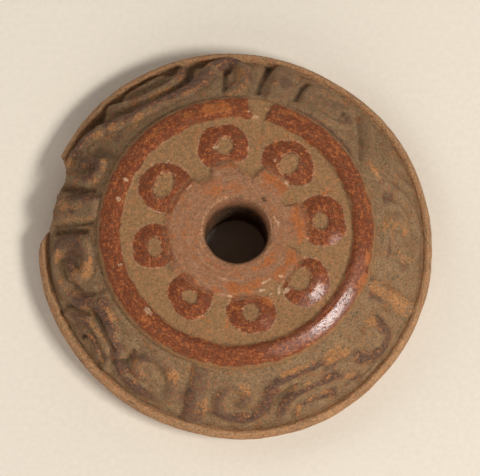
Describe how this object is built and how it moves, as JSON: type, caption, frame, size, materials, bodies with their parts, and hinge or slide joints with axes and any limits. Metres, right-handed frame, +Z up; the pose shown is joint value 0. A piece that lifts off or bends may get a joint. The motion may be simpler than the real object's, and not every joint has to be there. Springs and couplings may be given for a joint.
{
  "type": "clay spindle whorl",
  "caption": "Low conical spindle whorl of fired clay: spindle hole in a hub, ring bosses inside a rounded ridge, and scroll and arc relief on the sloping flank.",
  "frame": {"origin": "on the axis of the spindle hole, in the plane of the flat underside", "axes": "+Z up along the spindle hole, from the wide underside to the narrow top disc; the chipped rim is towards -X and the worn gap in the ridge is near +Y"},
  "size_m": [0.0599, 0.06, 0.0152],
  "materials": {
    "fired_clay": "burnished red slip on the top disc, worn brown slip with earth in the carving on the flank"
  },
  "bodies": {
    "root": {"whorl": "fired_clay"}
  },
  "joints": []
}
